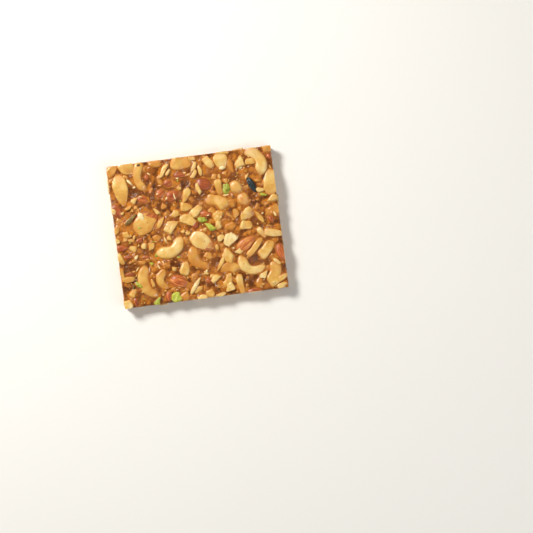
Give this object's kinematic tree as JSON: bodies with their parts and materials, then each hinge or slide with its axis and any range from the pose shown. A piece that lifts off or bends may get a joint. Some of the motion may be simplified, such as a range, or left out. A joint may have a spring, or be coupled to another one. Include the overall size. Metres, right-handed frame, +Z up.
{
  "type": "nut brittle",
  "caption": "Flat rectangular slab of mixed nut brittle with knife-cut sides: cashews, almonds and pistachios set in amber caramel.",
  "frame": {"origin": "centre of the flat underside", "axes": "+X along the slab's longer side, +Y along its shorter side, +Z up out of the nut-covered top"},
  "size_m": [0.1346, 0.1166, 0.013],
  "materials": {
    "caramel_and_nuts": "glossy amber caramel with toasted nuts"
  },
  "bodies": {
    "root": {"brittle_slab": "caramel_and_nuts"}
  },
  "joints": []
}
